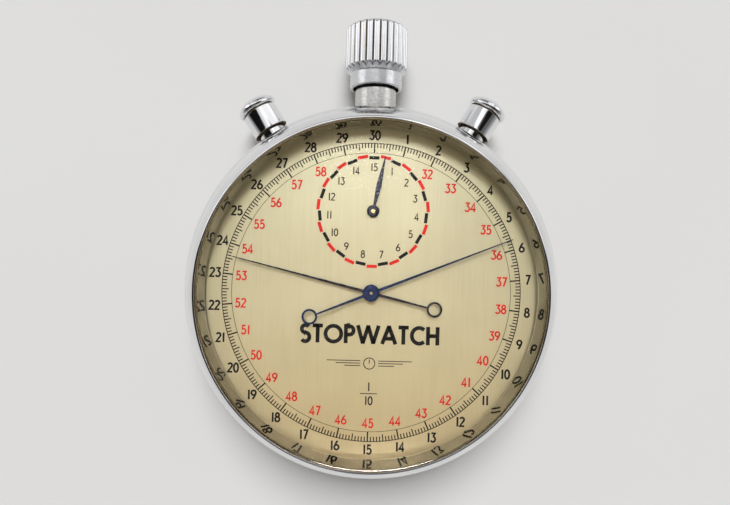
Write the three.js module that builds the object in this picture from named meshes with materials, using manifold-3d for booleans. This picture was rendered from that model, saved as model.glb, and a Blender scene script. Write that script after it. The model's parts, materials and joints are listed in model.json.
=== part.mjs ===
// Split-seconds stopwatch lying on its back. Millimetres, +Z out of the dial, +Y to the crown,
// +X to 3 o'clock. The origin is the centre of the flat outer face of the back cover.
import * as THREE from 'three';
import { mergeVertices } from 'three/addons/utils/BufferGeometryUtils.js';
import Module from 'manifold-3d';

const wasm = await Module();
wasm.setup();

// ---------- driving sizes ----------
const CASE_R = 32.5; // widest radius of the case
const CASE_SEG = 48; // facets round the case parts
const INNER_R = 28.95; // bore of the case
const SEAM_Z = 12.0; // where the bezel meets the case middle
const LIP_R = 27.85; // inner lip of the bezel just above the dial
const DIAL_R = 28.7;
const DIAL_Z = 13.0; // top of the dial
const DIAL_T = 0.5;
const STEM_Z = 8.0; // height of the crown and pusher axes
const PUSH_LEFT_DEG = 33.4; // pushers either side of 12 o'clock
const PUSH_RIGHT_DEG = 31.4;
const CROWN_R = 5.5;
const FLUTES = 27;
const FLUTE_DEPTH = 0.7;
const SUB_Y = 13.74; // centre of the small minute dial
const SWEEP_DEG = 67.8; // rest angles of the hands, clockwise from 12
const SPLIT_DEG = 283.4;
const MINUTE_DEG = 11.5;

// layers of the movement, low to high
const BRIDGE_Z = [4.6, 5.8];
const PLATE_Z = [10.6, 12.4];
const CHRONO_BRIDGE_Z = [1.25, 1.65];
const HEART_Z = [1.75, 2.1];
const WHEEL_Z = [2.2, 2.6];

// arbor centres
const SECOND = [16, 5.4];
const THIRD = [16.5, -1.9];
const FOURTH = [10.5, -6];
const ESCAPE = [3.9, -8.5];
const PALLET = [0.6, -10.6];
const BALANCE = [-4.5, -14];
const BARREL = [10.6, 13.2];
const CROWN_WHEEL = [0, 21.8];
const COUPLING = [5.25, -3];
const CENTRE = [0, 0];
const MINUTE = [0, SUB_Y];
const BETWEEN = [-1.79, 6.77];
const COLUMN = [-19.2, 6.6];
const POST_RIGHT = [14.22, 23.3]; // where the push-piece stems meet their levers
const POST_LEFT = [-15.03, 22.79];

// ---------- materials ----------
const paint = (color, roughness, metalness, opacity = 1) =>
  new THREE.MeshStandardMaterial({ color, roughness, metalness, opacity, transparent: opacity < 1 });
const MATERIALS = {
  chrome: () => paint('#c9ccd0', 0.12, 1),
  satin: () => paint('#a9abae', 0.4, 1),
  nickel: () => paint('#b9b4a6', 0.35, 1),
  brass: () => paint('#b8924a', 0.3, 1),
  steel: () => paint('#8e9196', 0.25, 1),
  blued: () => paint('#1b2440', 0.25, 0.9),
  dark: () => paint('#23242c', 0.3, 0.8),
  dial: () => paint('#d9cfb4', 0.55, 0.1),
  ruby: () => paint('#8f1230', 0.2, 0),
  glass: () => paint('#dfe8ea', 0.05, 0, 0.3),
};

// ---------- solids ----------
const group = new THREE.Group();
group.name = 'stopwatch';
const rad = (deg) => (deg * Math.PI) / 180;
const polar = (r, deg) => [r * Math.cos(rad(deg)), r * Math.sin(rad(deg))];

function solid(geometry) {
  geometry.deleteAttribute('normal');
  geometry.deleteAttribute('uv');
  const merged = mergeVertices(geometry, 1e-4);
  const index = merged.index.array;
  const kept = [];
  for (let i = 0; i < index.length; i += 3) {
    const [a, b, c] = [index[i], index[i + 1], index[i + 2]];
    if (a !== b && b !== c && c !== a) kept.push(a, b, c);
  }
  const make = (tris) =>
    new wasm.Manifold(
      new wasm.Mesh({
        numProp: 3,
        vertProperties: new Float32Array(merged.attributes.position.array),
        triVerts: new Uint32Array(tris),
      }),
    );
  const body = make(kept);
  if (body.volume() > 0) return body;
  const flipped = [];
  for (let i = 0; i < kept.length; i += 3) flipped.push(kept[i], kept[i + 2], kept[i + 1]);
  return make(flipped);
}

const union = (...parts) => parts.flat().reduce((a, b) => a.add(b));
const cut = (body, ...tools) => tools.flat().reduce((a, b) => a.subtract(b), body);

// Turned solid about Z from [radius, height] pairs: on the axis at both ends, or a closed ring.
function turned(profile, segments = CASE_SEG) {
  const points = profile.map(([r, z]) => new THREE.Vector2(r, z));
  const onAxis = profile[0][0] === 0;
  if (!onAxis) points.push(points[0].clone());
  const geometry = new THREE.LatheGeometry(points, segments);
  geometry.rotateX(Math.PI / 2);
  return solid(geometry);
}

// Flat plate from an outline, between two heights, with optional outlines as holes.
function plate(outline, [z0, z1], holes = []) {
  const shape = new THREE.Shape(outline.map(([x, y]) => new THREE.Vector2(x, y)));
  shape.holes = holes.map((h) => new THREE.Path(h.map(([x, y]) => new THREE.Vector2(x, y))));
  const geometry = new THREE.ExtrudeGeometry(shape, { depth: z1 - z0, bevelEnabled: false, steps: 1 });
  geometry.translate(0, 0, z0);
  return solid(geometry);
}

const circle = (r, [x, y] = [0, 0], n = 16, phase = 0) =>
  Array.from({ length: n }, (_, i) => {
    const [cx, cy] = polar(r, phase + (i * 360) / n);
    return [x + cx, y + cy];
  });

function pin(r, [x, y], [z0, z1], n = 12) {
  const geometry = new THREE.CylinderGeometry(r, r, z1 - z0, n);
  geometry.rotateX(Math.PI / 2);
  geometry.translate(x, y, (z0 + z1) / 2);
  return solid(geometry);
}

// A bar with round ends between two points.
function link([x0, y0], [x1, y1], r0, r1, [z0, z1], n = 5) {
  const a = Math.atan2(y1 - y0, x1 - x0);
  const end = (x, y, r, from) =>
    Array.from({ length: n + 1 }, (_, i) => {
      const t = a + from + (Math.PI * i) / n;
      return [x + r * Math.cos(t), y + r * Math.sin(t)];
    });
  return plate([...end(x1, y1, r1, -Math.PI / 2), ...end(x0, y0, r0, Math.PI / 2)], [z0, z1]);
}

const chain = (points, r, z) =>
  union(points.slice(1).map((p, i) => link(points[i], p, r, r, z)));

function node(name, body, material) {
  const mesh = body.getMesh();
  const geometry = new THREE.BufferGeometry();
  geometry.setAttribute('position', new THREE.BufferAttribute(new Float32Array(mesh.vertProperties), 3));
  geometry.setIndex(new THREE.BufferAttribute(new Uint32Array(mesh.triVerts), 1));
  geometry.computeVertexNormals();
  const item = new THREE.Mesh(geometry, MATERIALS[material]());
  item.name = name;
  group.add(item);
}

// ---------- gears ----------
const ADDENDUM = 0.75; // in modules
const DEDENDUM = 1.15;

// Pointed teeth on a pitch circle; phase is the direction of one tooth, in degrees.
function toothed([x, y], teeth, pitchR, phase, lean = 0) {
  const module = (2 * pitchR) / teeth;
  const step = 360 / teeth;
  const points = [];
  for (let i = 0; i < teeth; i += 1) {
    const at = phase + i * step;
    points.push(polar(pitchR - DEDENDUM * module, at - 0.27 * step));
    points.push(polar(pitchR + ADDENDUM * module, at + lean * step));
    points.push(polar(pitchR - DEDENDUM * module, at + 0.27 * step));
  }
  return points.map(([px, py]) => [x + px, y + py]);
}

// Openings that leave a number of spokes between a hub and a rim.
function windows([x, y], hubR, rimR, spokes, spokeDeg = 16) {
  const holes = [];
  for (let i = 0; i < spokes; i += 1) {
    const from = (i * 360) / spokes + spokeDeg / 2;
    const to = ((i + 1) * 360) / spokes - spokeDeg / 2;
    const hole = [];
    for (let k = 0; k <= 4; k += 1) hole.push(polar(rimR, from + ((to - from) * k) / 4));
    for (let k = 2; k >= 0; k -= 1) hole.push(polar(hubR, from + ((to - from) * k) / 2));
    holes.push(hole.map(([px, py]) => [x + px, y + py]));
  }
  return holes;
}

// The phase of a wheel at b that meshes with a wheel at a whose phase is known.
function meshed(a, teethA, phaseA, b, teethB) {
  const line = (Math.atan2(b[1] - a[1], b[0] - a[0]) * 180) / Math.PI;
  const step = 360 / teethA;
  const late = ((((line - phaseA) % step) + step) % step);
  return line + 180 + (late * teethA) / teethB + 180 / teethB;
}

// Pitch radii of two wheels from their centres and teeth.
function pitch(a, b, teethA, teethB) {
  const gap = Math.hypot(a[0] - b[0], a[1] - b[1]);
  return [(gap * teethA) / (teethA + teethB), (gap * teethB) / (teethA + teethB)];
}

// A spoked wheel, a pinion and their arbor, as one piece.
function wheelAndPinion(at, wheel, pinion, arborZ, arborR = 0.3) {
  const parts = [pin(arborR, at, arborZ, 10)];
  const rim = wheel.r - 2.6 * (wheel.r / wheel.teeth) - 0.55;
  parts.push(plate(toothed(at, wheel.teeth, wheel.r, wheel.phase), wheel.z, windows(at, 1.15, rim, 4)));
  if (pinion) parts.push(plate(toothed(at, pinion.teeth, pinion.r, pinion.phase), pinion.z));
  return union(parts);
}

// ---------- case ----------
const stemAxis = (body) => body.rotate([-90, 0, 0]).translate([0, 0, STEM_Z]);
const pushAxis = (body, turn) => stemAxis(body).rotate([0, 0, turn]);
const sides = [
  ['left', PUSH_LEFT_DEG],
  ['right', -PUSH_RIGHT_DEG],
];

const PENDANT_R = 3.62;
const PUSH_TUBE_R = 2.35;

function buildCase() {
  const middle = turned([
    [INNER_R, 2.55],
    [30.75, 2.55],
    [31.8, 4.6],
    [32.35, 7.0],
    [CASE_R, 9.6],
    [32.2, 11.2],
    [31.55, SEAM_Z],
    [INNER_R, SEAM_Z],
  ]);
  const holes = [stemAxis(pin(PENDANT_R + 0.08, CENTRE, [20, 40], 20))];
  for (const [, turn] of sides) {
    holes.push(pushAxis(pin(PUSH_TUBE_R + 0.1, CENTRE, [20, 40], 16), turn));
  }
  node('case_middle', cut(middle, holes), 'chrome');
  node(
    'back_cover',
    turned([
      [0, 0],
      [24, 0],
      [28.2, 0.45],
      [30.2, 1.35],
      [30.7, 2.45],
      [28.6, 2.45],
      [28.0, 1.45],
      [24, 1.0],
      [0, 1.0],
    ]),
    'chrome',
  );
  node(
    'bezel',
    turned([
      [INNER_R, SEAM_Z + 0.05],
      [31.5, SEAM_Z + 0.05],
      [31.2, 13.6],
      [30.45, 16.0],
      [29.75, 18.0],
      [29.1, 18.95],
      [28.45, 19.2],
      [28.4, 18.4],
      [28.1, 18.4],
      [LIP_R, 14.5],
      [LIP_R, 14.2],
      [INNER_R, 14.0],
    ]),
    'chrome',
  );
  node(
    'crystal',
    turned([
      [0, 19.55],
      [14, 19.25],
      [23, 18.8],
      [28.35, 18.45],
      [28.35, 19.15],
      [23, 19.85],
      [14, 20.4],
      [0, 20.6],
    ]),
    'glass',
  );
  const tube = turned(
    [
      [1.3, 29.2],
      [PENDANT_R, 29.2],
      [PENDANT_R, 35.4],
      [3.0, 35.5],
      [3.0, 36.5],
      [1.3, 36.5],
    ],
    20,
  );
  node('pendant_tube', stemAxis(tube), 'satin');
  for (const [name, turn] of sides) {
    const sleeve = turned(
      [
        [1.15, 29.2],
        [PUSH_TUBE_R, 29.2],
        [PUSH_TUBE_R, 35.0],
        [1.15, 35.0],
      ],
      16,
    );
    node(`pusher_tube_${name}`, pushAxis(sleeve, turn), 'satin');
  }
}

// ---------- crown and pushers ----------
function buildCrown() {
  const outline = [];
  const step = 360 / FLUTES;
  for (let i = 0; i < FLUTES; i += 1) {
    outline.push(polar(CROWN_R - FLUTE_DEPTH, (i - 0.5) * step));
    outline.push(polar(CROWN_R - 0.12, (i - 0.32) * step));
    outline.push(polar(CROWN_R, i * step));
    outline.push(polar(CROWN_R - 0.12, (i + 0.32) * step));
  }
  const ends = turned(
    [
      [0, 38.2],
      [4.6, 38.2],
      [5.55, 39.25],
      [5.55, 46.05],
      [5.2, 46.4],
      [4.0, 46.75],
      [0, 47.05],
    ],
    36,
  );
  const fluted = plate(outline, [38.1, 48]).intersect(ends);
  const skirt = turned(
    [
      [0, 38.4],
      [4.6, 38.4],
      [4.55, 35.7],
      [3.95, 35.7],
      [3.95, 38.0],
      [0, 38.0],
    ],
    36,
  );
  node('crown', stemAxis(union(fluted, skirt)), 'chrome');
  const square = new THREE.BoxGeometry(1.1, 1.1, 4.4);
  square.translate(0, 0, 19.15);
  node('winding_stem', stemAxis(union(solid(square), pin(1.0, CENTRE, [21.3, 37.95], 14))), 'steel');
}

function buildPushers() {
  for (const [name, turn] of sides) {
    const button = turned(
      [
        [0, 36.5],
        [2.6, 36.5],
        [2.6, 33.4],
        [3.12, 33.4],
        [3.12, 37.45],
        [2.9, 37.6],
        [3.3, 37.75],
        [3.48, 38.2],
        [3.3, 38.75],
        [2.5, 39.4],
        [1.3, 39.75],
        [0, 39.85],
      ],
      24,
    );
    node(`pusher_button_${name}`, pushAxis(button, turn), 'chrome');
    node(`pusher_stem_${name}`, pushAxis(pin(0.9, CENTRE, [28.0, 36.46], 12), turn), 'steel');
  }
}

// ---------- dial and hands ----------
const SUB_HOLE_R = 0.7;

function buildDial() {
  const holes = [circle(1.05, CENTRE, 12), circle(SUB_HOLE_R, MINUTE, 10)];
  const z = [DIAL_Z - DIAL_T, DIAL_Z];
  node('dial', plate(circle(DIAL_R, CENTRE, CASE_SEG), z, holes), 'dial');
}

function longHand(deg, reach, z, holeR) {
  const tail = -10.95;
  const blade = plate(
    [
      [-0.28, 0],
      [0.28, 0],
      [0.09, reach],
      [-0.09, reach],
    ],
    z,
  );
  const stalk = plate(
    [
      [-0.28, 0],
      [-0.16, tail + 1.15],
      [0.16, tail + 1.15],
      [0.28, 0],
    ],
    z,
  );
  const ring = plate(circle(1.3, [0, tail], 16), z, [circle(0.96, [0, tail], 16)]);
  const hub = pin(1.4, CENTRE, z, 18);
  const body = cut(union(blade, stalk, ring, hub), pin(holeR, CENTRE, [z[0] - 1, z[1] + 1], 12));
  return body.rotate([0, 0, -deg]);
}

function buildHands() {
  node('sweep_hand', longHand(SWEEP_DEG, 25.2, [15.0, 15.25], 0.24), 'blued');
  node('split_hand', longHand(SPLIT_DEG, 24.1, [14.25, 14.5], 0.79), 'dark');
  const z = [13.45, 13.65];
  const lance = plate(
    [
      [-0.2, 0],
      [-0.45, 4.4],
      [0, 9.5],
      [0.45, 4.4],
      [0.2, 0],
    ],
    z,
  );
  const hand = cut(union(lance, pin(1.05, CENTRE, z, 16)), pin(0.34, CENTRE, [13, 14], 10));
  node('minute_hand', hand.rotate([0, 0, -MINUTE_DEG]).translate([0, SUB_Y, 0]), 'dark');
}

// ---------- main plate and bridges ----------
const ARBOR_HOLE_R = 0.4;
const arborHole = (at, z) => pin(ARBOR_HOLE_R, at, [z[0] - 1, z[1] + 1], 10);

function buildPlates() {
  const top = PLATE_Z[0] - 0.02;
  const main = plate(circle(28.5, CENTRE, CASE_SEG), PLATE_Z, [
    circle(1.05, CENTRE, 12),
    circle(SUB_HOLE_R, MINUTE, 10),
  ]);
  node('main_plate', main, 'nickel');

  const barrelBridge = plate(
    [
      [2.0, 5.6],
      [12, 3.6],
      [25.3, 3.6],
      [25.6, 7],
      [19.6, 14.6],
      [11.2, 21.4],
      [9.0, 25.2],
      [4.6, 25.4],
      [4.0, 21.8],
      [2.6, 17.2],
    ],
    BRIDGE_Z,
  );
  const barrelPillars = [[7.4, 24.0], [24.3, 5.1], [3.5, 7.1]].map((p) => pin(0.75, p, [5.5, top], 10));
  const barrelHoles = [pin(1.3, BARREL, [4, 6.5], 14), arborHole(SECOND, BRIDGE_Z)];
  node('barrel_bridge', cut(union(barrelBridge, barrelPillars), barrelHoles), 'nickel');

  const trainBridge = plate(
    [
      [25.2, 3.0],
      [12, 3.0],
      [2.0, 4.8],
      [-4.0, 3.2],
      [-4.0, -3.0],
      [1.2, -6.2],
      [1.8, -10.4],
      [7.2, -12.6],
      [13.2, -15.2],
      [23.6, -9.6],
    ],
    BRIDGE_Z,
  );
  const trainPillars = [[22.8, -8.6], [12.8, -13.9], [-2.7, 1.6]].map((p) => pin(0.75, p, [5.5, top], 10));
  const trainHoles = [THIRD, FOURTH, ESCAPE].map((p) => arborHole(p, BRIDGE_Z));
  trainHoles.push(pin(1.05, CENTRE, [4, 6.5], 12));
  node('train_bridge', cut(union(trainBridge, trainPillars), trainHoles), 'nickel');

  const cock = union(
    link([-11.3, -19.7], BALANCE, 2.4, 1.7, BRIDGE_Z, 8),
    pin(1.0, [-11.3, -19.7], [5.5, top], 12),
  );
  node('balance_cock', cut(cock, arborHole(BALANCE, BRIDGE_Z)), 'nickel');

  const palletBridge = union(
    link([-3.8, -7.2], PALLET, 0.9, 0.9, [7.7, 8.1], 5),
    pin(0.6, [-3.8, -7.2], [7.9, top], 10),
  );
  node('pallet_bridge', cut(palletBridge, arborHole(PALLET, [7.7, 8.1])), 'nickel');

  const chronoBridge = plate(
    [
      [-10, 11],
      [-9.6, 13.2],
      [0.6, 15.2],
      [1.6, 13.0],
      [0.6, 6.6],
      [7.2, 3.5],
      [6.9, -3.6],
      [3.4, -7.8],
      [1.5, -6.6],
      [3.4, -2.0],
      [-1.6, -1.4],
      [-3.2, 6.4],
    ],
    CHRONO_BRIDGE_Z,
  );
  const chronoPillars = [
    pin(0.65, [6.3, 2.3], [1.5, BRIDGE_Z[0] - 0.02], 10),
    pin(0.65, [2.6, -6.6], [1.5, BRIDGE_Z[0] - 0.02], 10),
    pin(0.65, [-8.9, 12], [1.5, top], 10),
  ];
  node('chronograph_bridge', union(chronoBridge, chronoPillars), 'steel');

  const screws = [
    [7.4, 24.0],
    [24.3, 5.1],
    [22.8, -8.6],
    [12.8, -13.9],
    [-11.3, -19.7],
  ];
  screws.forEach((p, i) => {
    const slot = new THREE.BoxGeometry(0.3, 3, 0.5);
    slot.rotateZ(rad(35 + 50 * i));
    slot.translate(p[0], p[1], BRIDGE_Z[0] - 0.62);
    const head = pin(0.95, p, [BRIDGE_Z[0] - 0.6, BRIDGE_Z[0] - 0.02], 12);
    node(`bridge_screw_${i + 1}`, cut(head, solid(slot)), 'blued');
  });
}

// ---------- going train ----------
const TEETH = {
  barrel: 36,
  secondPinion: 6,
  second: 45,
  thirdPinion: 6,
  third: 48,
  fourthPinion: 6,
  fourth: 60,
  escapePinion: 6,
  drive: 24,
  coupling: 12,
  centrePinion: 6,
  between: 36,
  betweenPinion: 6,
  minute: 30,
  ratchet: 30,
  crownSpur: 18,
  contrate: 14,
  windingPinion: 9,
};

function buildTrain() {
  const T = TEETH;
  const [barrelR, secondPinionR] = pitch(BARREL, SECOND, T.barrel, T.secondPinion);
  const [secondR, thirdPinionR] = pitch(SECOND, THIRD, T.second, T.thirdPinion);
  const [thirdR, fourthPinionR] = pitch(THIRD, FOURTH, T.third, T.fourthPinion);
  const [fourthR, escapePinionR] = pitch(FOURTH, ESCAPE, T.fourth, T.escapePinion);

  const drumR = 7.3;
  const drum = turned(
    [
      [1.1, 6.3],
      [drumR, 6.3],
      [drumR, 9.4],
      [drumR - 0.5, 9.4],
      [drumR - 0.5, 6.8],
      [1.1, 6.8],
    ],
    32,
  ).translate([...BARREL, 0]);
  const teeth = plate(toothed(BARREL, T.barrel, barrelR, 0), [7.6, 8.4], [circle(7.0, BARREL, 32)]);
  node('barrel_drum', union(drum, teeth), 'brass');
  const lid = plate(circle(drumR - 0.55, BARREL, 32), [9.0, 9.35], [circle(1.1, BARREL, 12)]);
  node('barrel_lid', lid, 'brass');

  const inner = [];
  const outer = [];
  const turns = 4;
  const steps = turns * 12;
  for (let i = 0; i <= steps; i += 1) {
    const r = 1.55 + ((6.45 - 1.55) * i) / steps;
    const deg = (360 * turns * i) / steps;
    inner.push(polar(r - 0.16, deg));
    outer.push(polar(r + 0.16, deg));
  }
  const coil = [...outer, ...inner.reverse()].map(([x, y]) => [BARREL[0] + x, BARREL[1] + y]);
  node('mainspring', plate(coil, [7.0, 8.85]), 'steel');

  const secondPhase = meshed(BARREL, T.barrel, 0, SECOND, T.secondPinion);
  const thirdPhase = meshed(SECOND, T.second, 0, THIRD, T.thirdPinion);
  const fourthPhase = meshed(THIRD, T.third, 0, FOURTH, T.fourthPinion);
  const escapePhase = meshed(FOURTH, T.fourth, 0, ESCAPE, T.escapePinion);
  node(
    'second_wheel',
    wheelAndPinion(
      SECOND,
      { teeth: T.second, r: secondR, phase: 0, z: [9.8, 10.2] },
      { teeth: T.secondPinion, r: secondPinionR, phase: secondPhase, z: [7.2, 8.7] },
      [4.7, 10.45],
    ),
    'brass',
  );
  node(
    'third_wheel',
    wheelAndPinion(
      THIRD,
      { teeth: T.third, r: thirdR, phase: 0, z: [8.85, 9.2] },
      { teeth: T.thirdPinion, r: thirdPinionR, phase: thirdPhase, z: [9.6, 10.35] },
      [4.7, 10.45],
    ),
    'brass',
  );
  node(
    'fourth_wheel',
    wheelAndPinion(
      FOURTH,
      { teeth: T.fourth, r: fourthR, phase: 0, z: [7.6, 7.95] },
      { teeth: T.fourthPinion, r: fourthPinionR, phase: fourthPhase, z: [8.6, 9.4] },
      [2.7, 10.45],
    ),
    'brass',
  );
  const escape = [pin(0.28, ESCAPE, [4.7, 10.45], 10)];
  escape.push(plate(toothed(ESCAPE, T.escapePinion, escapePinionR, escapePhase), [7.3, 8.2]));
  const club = [];
  for (let i = 0; i < 15; i += 1) {
    club.push(polar(2.45, 24 * i - 7), polar(3.2, 24 * i - 4.5));
    club.push(polar(3.2, 24 * i - 1), polar(2.45, 24 * i));
  }
  const ring = club.map(([x, y]) => [ESCAPE[0] + x, ESCAPE[1] + y]);
  escape.push(plate(ring, [8.85, 9.15], windows(ESCAPE, 0.75, 2.0, 4, 24)));
  node('escape_wheel', union(escape), 'brass');

  // lever escapement and balance
  const toBalance = (Math.atan2(BALANCE[1] - PALLET[1], BALANCE[0] - PALLET[0]) * 180) / Math.PI;
  const along = (r, deg) => {
    const [x, y] = polar(r, toBalance + deg);
    return [PALLET[0] + x, PALLET[1] + y];
  };
  const leverZ = [9.45, 9.8];
  const lever = union(
    pin(0.26, PALLET, [7.75, 10.45], 10),
    link(PALLET, along(4.1, 0), 0.5, 0.28, leverZ, 5),
    link(along(4.0, 0), along(4.9, 7), 0.2, 0.14, leverZ, 4),
    link(along(4.0, 0), along(4.9, -7), 0.2, 0.14, leverZ, 4),
    link(PALLET, along(2.5, 118), 0.5, 0.3, leverZ, 5),
    link(PALLET, along(2.5, -118), 0.5, 0.3, leverZ, 5),
  );
  node('pallet_lever', lever, 'steel');
  ['a', 'b'].forEach((name, i) => {
    const at = along(2.5, i ? -118 : 118);
    node(`pallet_stone_${name}`, pin(0.2, at, [9.2, leverZ[0] - 0.02], 6), 'ruby');
  });
  const rim = plate(circle(7.0, BALANCE, 40), [6.6, 7.3], windows(BALANCE, 0.9, 6.35, 2, 12));
  const staff = pin(0.28, BALANCE, [4.7, 10.45], 10);
  node('balance_wheel', union(rim, staff), 'brass');
  node('roller', plate(circle(1.0, BALANCE, 14), [8.9, 9.3], [circle(0.31, BALANCE, 10)]), 'steel');

  const spiralIn = [];
  const spiralOut = [];
  const springTurns = 4;
  const springSteps = springTurns * 14;
  for (let i = 0; i <= springSteps; i += 1) {
    const r = 0.75 + (2.6 * i) / springSteps;
    const deg = (360 * springTurns * i) / springSteps;
    spiralIn.push(polar(r - 0.05, deg));
    spiralOut.push(polar(r + 0.05, deg));
  }
  const hair = [...spiralOut, ...spiralIn.reverse()].map(([x, y]) => [BALANCE[0] + x, BALANCE[1] + y]);
  node('hairspring', plate(hair, [5.95, 6.3]), 'blued');
}

// ---------- winding ----------
function buildWinding() {
  const T = TEETH;
  const [spurR, ratchetR] = pitch(CROWN_WHEEL, BARREL, T.crownSpur, T.ratchet);
  const spur = plate(toothed(CROWN_WHEEL, T.crownSpur, spurR, 0), [3.9, 4.5]);
  const contrate = [];
  for (let i = 0; i < T.contrate; i += 1) {
    const tooth = new THREE.CylinderGeometry(0.08, 0.3, 1.0, 4, 1, false, Math.PI / 4);
    tooth.rotateX(Math.PI / 2);
    tooth.translate(2.85, 0, 6.05);
    tooth.rotateZ(rad(-90 + (360 * (i + 0.5)) / T.contrate));
    tooth.translate(...CROWN_WHEEL, 0);
    contrate.push(solid(tooth));
  }
  const hub = pin(3.25, CROWN_WHEEL, [4.4, 5.8], 24);
  node('crown_wheel', union(spur, hub, contrate), 'steel');

  const ratchetPhase = meshed(CROWN_WHEEL, T.crownSpur, 0, BARREL, T.ratchet);
  const ratchet = plate(toothed(BARREL, T.ratchet, ratchetR, ratchetPhase), [3.9, 4.5], [
    circle(1.04, BARREL, 12),
  ]);
  node('ratchet_wheel', ratchet, 'steel');
  const arbor = union(pin(1.0, BARREL, [3.7, 10.45], 12), pin(1.25, BARREL, [6.95, 8.8], 12));
  node('barrel_arbor', arbor, 'steel');

  const outline = toothed(CENTRE, T.windingPinion, 1.42, 90);
  const inner = [
    [-0.65, -0.65],
    [0.65, -0.65],
    [0.65, 0.65],
    [-0.65, 0.65],
  ];
  node('winding_pinion', stemAxis(plate(outline, [18.0, 19.9], [inner])), 'steel');

  const toClick = 80;
  const [cx, cy] = polar(ratchetR + 3.0, toClick);
  const [tx, ty] = polar(ratchetR + 1.05, toClick + 16);
  const click = union(
    link([BARREL[0] + cx, BARREL[1] + cy], [BARREL[0] + tx, BARREL[1] + ty], 0.75, 0.25, [3.95, 4.4]),
    pin(0.35, [BARREL[0] + cx, BARREL[1] + cy], [3.9, 4.55], 8),
  );
  node('click', click, 'steel');
}

// ---------- chronograph work ----------
function heart(at, z, deg, size) {
  const points = [];
  for (let i = 0; i < 20; i += 1) {
    const t = (i * 18 - 180) / 180;
    const r = size * (0.42 + 0.58 * Math.abs(t));
    points.push(polar(r, i * 18 + deg));
  }
  return plate(points.map(([x, y]) => [at[0] + x, at[1] + y]), z);
}

function buildChronograph() {
  const T = TEETH;
  const [driveR, couplingR] = pitch(FOURTH, COUPLING, T.drive, T.coupling);
  const couplingPhase = meshed(FOURTH, T.drive, 0, COUPLING, T.coupling);
  const chronoPhase = meshed(COUPLING, T.coupling, couplingPhase, CENTRE, T.drive);
  const drive = plate(toothed(FOURTH, T.drive, driveR, 0), WHEEL_Z, windows(FOURTH, 0.8, 2.9, 3, 20));
  node('driving_wheel', drive, 'brass');
  const coupling = plate(toothed(COUPLING, T.coupling, couplingR, couplingPhase), WHEEL_Z);
  node('coupling_wheel', union(coupling, pin(0.3, COUPLING, [1.7, 3.2], 8)), 'brass');

  const [centrePinionR, betweenR] = pitch(CENTRE, BETWEEN, T.centrePinion, T.between);
  const [betweenPinionR, minuteR] = pitch(BETWEEN, MINUTE, T.betweenPinion, T.minute);
  const betweenPhase = meshed(CENTRE, T.centrePinion, 0, BETWEEN, T.between);
  const minutePhase = meshed(BETWEEN, T.betweenPinion, 0, MINUTE, T.minute);
  node(
    'chronograph_wheel',
    plate(toothed(CENTRE, T.drive, driveR, chronoPhase), WHEEL_Z, [
      circle(0.38, CENTRE, 10),
      ...windows(CENTRE, 0.9, 2.9, 3, 20),
    ]),
    'brass',
  );
  const arbor = union(
    pin(0.35, CENTRE, [1.7, 14.95], 10),
    pin(0.21, CENTRE, [14.9, 15.5], 10),
    plate(toothed(CENTRE, T.centrePinion, centrePinionR, 0), [2.9, 3.5]),
    heart(CENTRE, HEART_Z, 200, 1.5),
  );
  node('sweep_arbor', arbor, 'brass');
  node(
    'intermediate_wheel',
    wheelAndPinion(
      BETWEEN,
      { teeth: T.between, r: betweenR, phase: betweenPhase, z: [3.0, 3.4] },
      { teeth: T.betweenPinion, r: betweenPinionR, phase: 0, z: [2.0, 2.8] },
      [1.7, 4.3],
    ),
    'brass',
  );
  const counter = union(
    plate(toothed(MINUTE, T.minute, minuteR, minutePhase), WHEEL_Z, windows(MINUTE, 1.1, 4.6, 4)),
    pin(0.32, MINUTE, [1.7, 13.8], 10),
    heart(MINUTE, HEART_Z, 200, 1.3),
  );
  node('minute_wheel', counter, 'brass');

  // split-seconds work
  const tube = plate(circle(0.75, CENTRE, 16), [3.65, 14.55], [circle(0.45, CENTRE, 16)]);
  const splitWheel = plate(circle(3.6, CENTRE, 28), [3.75, 4.05], [
    circle(0.45, CENTRE, 16),
    ...windows(CENTRE, 1.2, 2.8, 3, 20),
  ]);
  node('split_wheel', union(tube, splitWheel), 'brass');
  const armZ = [3.7, 4.1];
  const clamp = (side) =>
    chain([[-9.0, 1.0], [-6.0, 3.4], [-3.0, 4.6], [0.8, 4.75]].map(([x, y]) => [x, side * y]), 0.45, armZ);
  node('clamp_arm_lower', clamp(-1), 'steel');
  node('clamp_arm_upper', clamp(1), 'steel');

  // levers
  const leverZ = [7.5, 8.5];
  const operating = union(
    chain([[-12.4, 14.6], [-8.5, 16.1], [0, 16.15]], 0.55, leverZ),
    pin(0.45, [-12.4, 14.6], [6.6, 10.45], 10),
  );
  node('operating_lever', operating, 'steel');
  const hammer = union(
    chain([[-12, -6], [-14.2, 8], POST_LEFT], 0.8, HEART_Z),
    link([-13.2, 0.2], [-2.9, 0.2], 0.76, 0.45, HEART_Z),
    link([-14.4, 14.1], [-4.2, 14.1], 0.6, 0.4, HEART_Z),
    pin(0.45, POST_LEFT, [HEART_Z[0] + 0.1, 8.8], 10),
    pin(0.5, [-12, -6], [1.2, 4.4], 10),
  );
  node('reset_hammer', hammer, 'steel');
  const splitLever = union(
    chain([POST_RIGHT, [19.8, 16.4], [22.8, 8.6], [9.6, 2.2]], 0.7, [2.9, 3.3]),
    pin(0.45, POST_RIGHT, [3.0, 8.8], 10),
    pin(0.5, [22.8, 8.6], [1.2, 3.3], 10),
  );
  node('split_lever', splitLever, 'steel');
  const column = [
    plate(toothed(COLUMN, 12, 2.9, 0, 0.2), [2.4, 2.8]),
    pin(0.5, COLUMN, [1.6, 4.4], 8),
  ];
  for (let i = 0; i < 6; i += 1) {
    const [x, y] = polar(1.7, i * 60);
    column.push(pin(0.45, [COLUMN[0] + x, COLUMN[1] + y], [2.7, 4.2], 6));
  }
  node('column_wheel', union(column), 'steel');
}

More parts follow.
